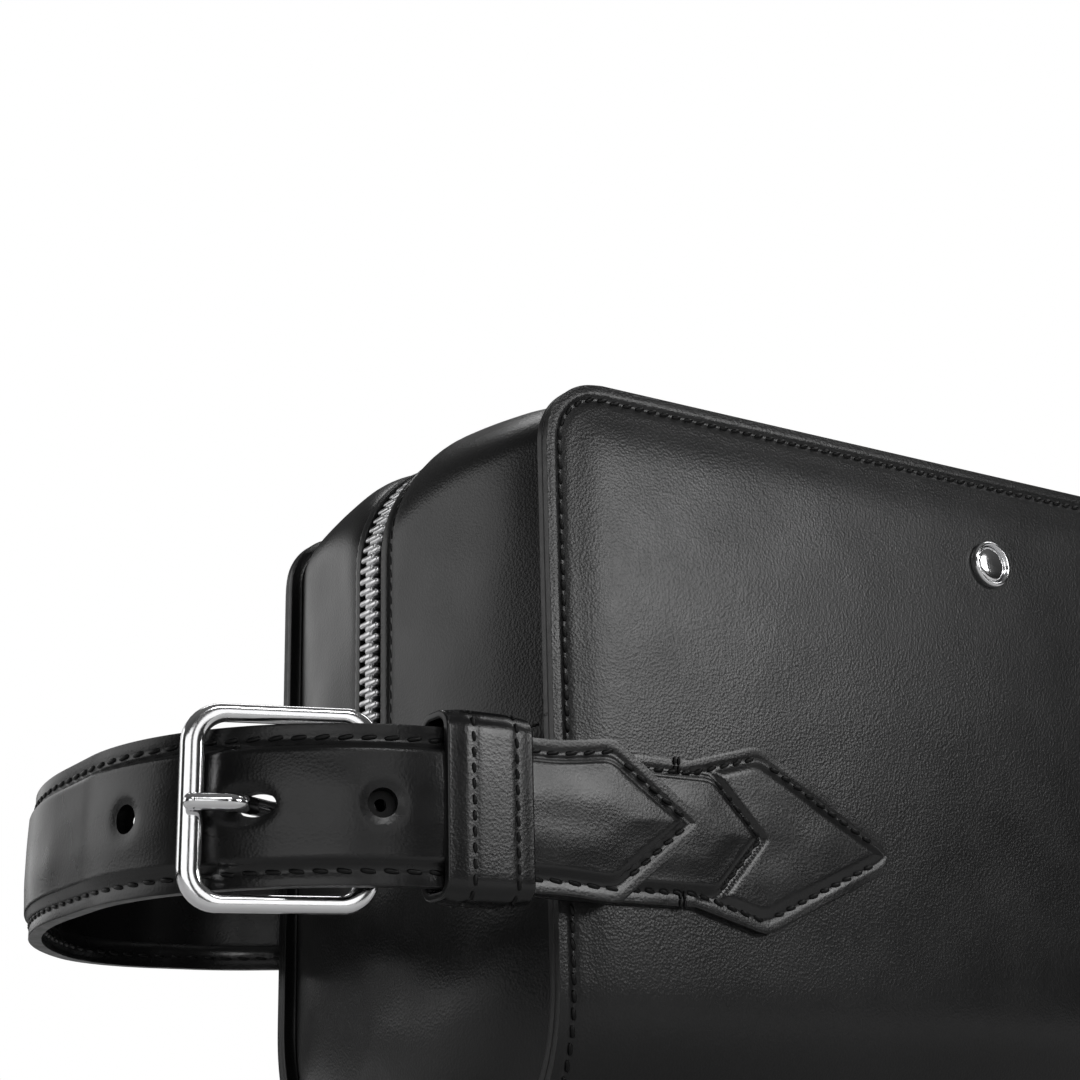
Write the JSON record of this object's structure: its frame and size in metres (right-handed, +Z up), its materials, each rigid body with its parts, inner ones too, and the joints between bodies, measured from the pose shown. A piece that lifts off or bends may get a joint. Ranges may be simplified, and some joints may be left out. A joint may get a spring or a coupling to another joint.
{
  "type": "leather wash bag",
  "caption": "Zipped leather wash bag with boxed ends, a wide-opening mouth, paired zip sliders and a buckled strap handle looped at one end.",
  "frame": {"origin": "middle of the flat underside, on the surface that the bag stands on", "axes": "+X along the front from the handle end to the plain end, -Y out of the front face, +Z up"},
  "size_m": [0.2815, 0.1264, 0.144],
  "materials": {
    "leather": "smooth box calf with a soft sheen and fine grain",
    "strap_leather": "smooth padded strap leather, glossier on the crown, painted edges",
    "lining": "fine woven lining cloth",
    "board": "pressed fibre board",
    "tape": "woven zip tape",
    "zip_metal": "nickel-plated, lightly satin",
    "polished_metal": "polished palladium-look plate"
  },
  "bodies": {
    "root": {"base_wrap": "leather", "end_gusset_left": "leather", "end_gusset_right": "leather", "base_lining": "lining", "base_board": "board", "zip_stop_left": "zip_metal", "zip_stop_right": "zip_metal", "chape_tab": "strap_leather", "chape_strap": "strap_leather", "handle_strap": "strap_leather", "handle_tab": "strap_leather"},
    "front_flap": {"front_panel": "leather", "front_gusset": "leather", "front_lining": "lining", "zip_tape_front": "tape", "zip_teeth_front": "zip_metal", "stud_rim": "polished_metal", "stud_disc": "polished_metal", "stud_washer": "zip_metal"},
    "back_flap": {"back_panel": "leather", "back_gusset": "leather", "back_lining": "lining", "zip_tape_back": "tape", "zip_teeth_back": "zip_metal"},
    "slider_left_body": {"slider_left": "zip_metal"},
    "slider_right_body": {"slider_right": "zip_metal"},
    "pull_left_body": {"pull_left": "polished_metal"},
    "pull_right_body": {"pull_right": "polished_metal"},
    "buckle": {"buckle_frame": "polished_metal"},
    "tongue": {"buckle_tongue": "polished_metal"},
    "keeper": {"keeper_loop": "strap_leather"}
  },
  "joints": [
    {"name": "mouth_front", "type": "hinge", "parent": "root", "child": "front_flap", "pos_m": [0, -0.052, 0.078], "axis": [1, 0, 0], "range_deg": [0, 18]},
    {"name": "mouth_back", "type": "hinge", "parent": "root", "child": "back_flap", "pos_m": [0, 0.052, 0.078], "axis": [-1, 0, 0], "range_deg": [0, 18]},
    {"name": "zip_left", "type": "slide", "parent": "back_flap", "child": "slider_left_body", "axis": [-1, 0, 0], "range_m": [0, 0.066]},
    {"name": "zip_right", "type": "slide", "parent": "back_flap", "child": "slider_right_body", "axis": [1, 0, 0], "range_m": [0, 0.066]},
    {"name": "pull_left_lift", "type": "hinge", "parent": "slider_left_body", "child": "pull_left_body", "pos_m": [-0.007, 0, 0.14235], "axis": [0, 1, 0], "range_deg": [0, 85]},
    {"name": "pull_right_lift", "type": "hinge", "parent": "slider_right_body", "child": "pull_right_body", "pos_m": [0.007, 0, 0.14235], "axis": [0, -1, 0], "range_deg": [0, 85]},
    {"name": "buckle_tilt", "type": "hinge", "parent": "root", "child": "buckle", "pos_m": [-0.13804, -0.04862, 0.0563], "axis": [0, 0, 1], "range_deg": [0, 3]},
    {"name": "tongue_lift", "type": "hinge", "parent": "buckle", "child": "tongue", "pos_m": [-0.13804, -0.04862, 0.0563], "axis": [0, 0, 1], "range_deg": [0, 3]},
    {"name": "keeper_slide", "type": "slide", "parent": "root", "child": "keeper", "axis": [1, 0, 0], "range_m": [-0.002, 0.005]}
  ],
  "couplings": [
    {"joint": "mouth_back", "follows": "mouth_front", "ratio": 1},
    {"joint": "zip_left", "follows": "mouth_front", "m_per_rad": 0.2069},
    {"joint": "zip_right", "follows": "mouth_front", "m_per_rad": 0.2069}
  ]
}
